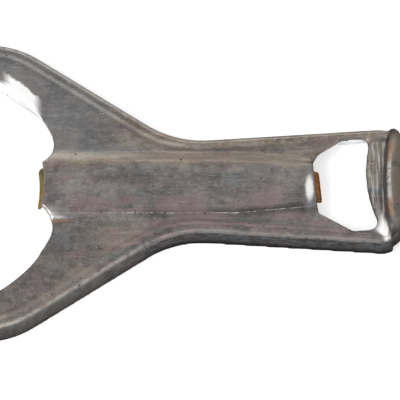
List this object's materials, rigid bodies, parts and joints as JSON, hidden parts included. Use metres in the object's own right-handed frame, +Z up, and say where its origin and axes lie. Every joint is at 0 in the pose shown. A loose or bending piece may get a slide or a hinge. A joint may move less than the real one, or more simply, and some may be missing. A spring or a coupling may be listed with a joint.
{
  "type": "jar lid and bottle cap lifter",
  "caption": "Hand lifter in pressed plated steel: Y-shaped handle with a round lid jaw at one end and a crown cap mouth at the other, and a hardened lip strip under its rib.",
  "frame": {"origin": "middle of the tool's footprint, on the plane it rests on", "axes": "+X along the handle from the lid jaw to the cap mouth, +Y across the handle, +Z up through the ribbed face"},
  "size_m": [0.1182, 0.084, 0.0081],
  "materials": {
    "plated_steel": "worn nickel plate, scuffed and faintly mottled",
    "hardened_steel": "bare hardened steel browned by age, bright at the lips' edges"
  },
  "bodies": {
    "root": {"handle_shell": "plated_steel", "lip_strip": "hardened_steel"}
  },
  "joints": []
}
